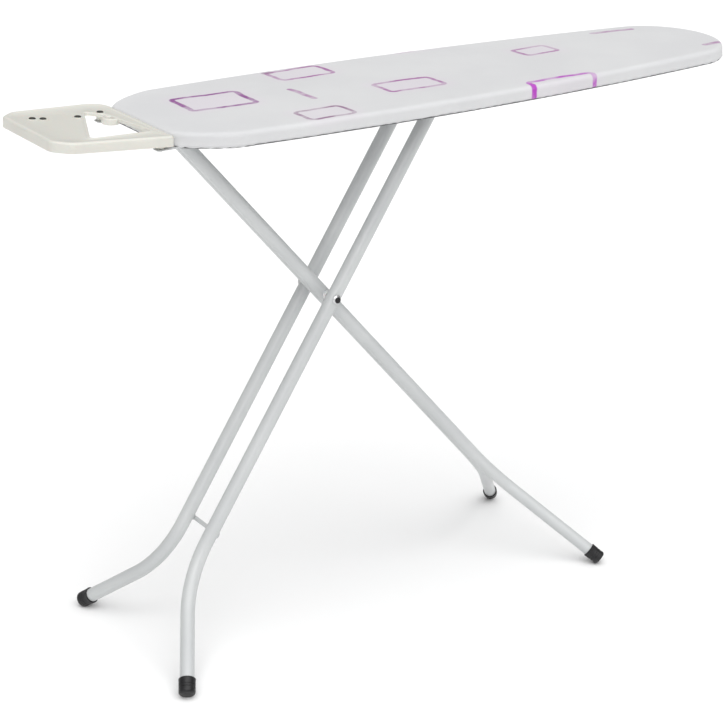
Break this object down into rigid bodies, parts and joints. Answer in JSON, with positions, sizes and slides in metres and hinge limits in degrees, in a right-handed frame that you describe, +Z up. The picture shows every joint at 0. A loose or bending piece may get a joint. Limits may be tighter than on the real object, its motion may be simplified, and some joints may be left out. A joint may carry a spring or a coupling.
{
  "type": "ironing board",
  "caption": "Folding ironing board: a padded, printed-cloth-covered tapered board on crossed tubular steel legs with flared feet, and a plastic iron rest at its tail.",
  "frame": {"origin": "on the floor, under the middle of the open board's overall length and width", "axes": "+X along the board from the iron rest to the nose, +Y to the left, +Z up"},
  "size_m": [1.2202, 0.3702, 0.8435],
  "materials": {
    "cover_cloth": "printed cotton, matt",
    "felt": "needled felt",
    "deck_paint": "pale grey powder coat",
    "frame_paint": "light grey powder coat",
    "leg_paint": "light grey satin powder coat",
    "foot_rubber": "black moulded rubber",
    "stud_rubber": "dark moulded rubber",
    "rest_plastic": "cream moulded plastic",
    "black_steel": "black satin",
    "dark_plastic": "dark grey moulded plastic",
    "white_plastic": "white moulded plastic",
    "bare_steel": "zinc plated"
  },
  "bodies": {
    "board": {"cover_top": "cover_cloth", "cover_skirt": "cover_cloth", "pad": "felt", "deck_panel": "deck_paint", "rim_tail": "frame_paint", "rim_left": "frame_paint", "rim_right": "frame_paint", "rim_nose": "frame_paint", "rib_tail": "frame_paint", "rib_middle": "frame_paint", "rib_nose": "frame_paint", "slide_rail_left": "frame_paint", "slide_rail_right": "frame_paint", "hinge_bracket_left": "frame_paint", "hinge_bracket_right": "frame_paint", "hinge_axle": "bare_steel", "rest_tray": "rest_plastic", "rest_stud_1": "stud_rubber", "rest_stud_2": "stud_rubber", "rest_stud_3": "stud_rubber", "rest_stud_4": "stud_rubber", "rest_strap_left": "frame_paint", "rest_strap_right": "frame_paint", "screw_rest_left": "bare_steel", "screw_rest_right": "bare_steel", "screw_board_left": "bare_steel", "screw_board_right": "bare_steel", "release_bracket": "frame_paint", "release_pin": "bare_steel"},
    "leg_b": {"leg_b_tube_left": "leg_paint", "leg_b_tube_right": "leg_paint", "leg_b_foot_left": "foot_rubber", "leg_b_foot_right": "foot_rubber", "leg_b_plug_left": "dark_plastic", "leg_b_plug_right": "dark_plastic", "pivot_bolt": "black_steel", "pivot_nut": "bare_steel", "pivot_washer_left": "bare_steel", "pivot_washer_right": "bare_steel", "pivot_spacer_left": "white_plastic", "pivot_spacer_right": "white_plastic"},
    "leg_a": {"leg_a_tube_left": "leg_paint", "leg_a_tube_right": "leg_paint", "leg_a_foot_left": "foot_rubber", "leg_a_foot_right": "foot_rubber", "leg_a_plug_left": "dark_plastic", "leg_a_plug_right": "dark_plastic", "slide_pin_left": "bare_steel", "slide_pin_right": "bare_steel", "slide_washer_left": "white_plastic", "slide_washer_right": "white_plastic", "leg_a_crossbar": "leg_paint", "leg_a_top_brace": "leg_paint"},
    "release": {"release_bar": "bare_steel", "release_grip": "dark_plastic"}
  },
  "joints": [
    {"name": "leg_b_fold", "type": "hinge", "parent": "board", "child": "leg_b", "pos_m": [-0.37792, 0, 0.797], "axis": [0, -1, 0], "range_deg": [0, 49.28]},
    {"name": "leg_a_fold", "type": "hinge", "parent": "leg_b", "child": "leg_a", "pos_m": [-0.14022, 0, 0.5208], "axis": [0, 1, 0], "range_deg": [0, 106.09]},
    {"name": "release_squeeze", "type": "hinge", "parent": "board", "child": "release", "pos_m": [0.35608, -0.0655, 0.81335], "axis": [0, 1, 0], "range_deg": [0, 0.8], "stiffness_Nm_per_rad": 8, "springref_deg": -3.44}
  ],
  "couplings": [
    {"joint": "leg_a_fold", "follows": "leg_b_fold", "ratio": 2.1523}
  ]
}
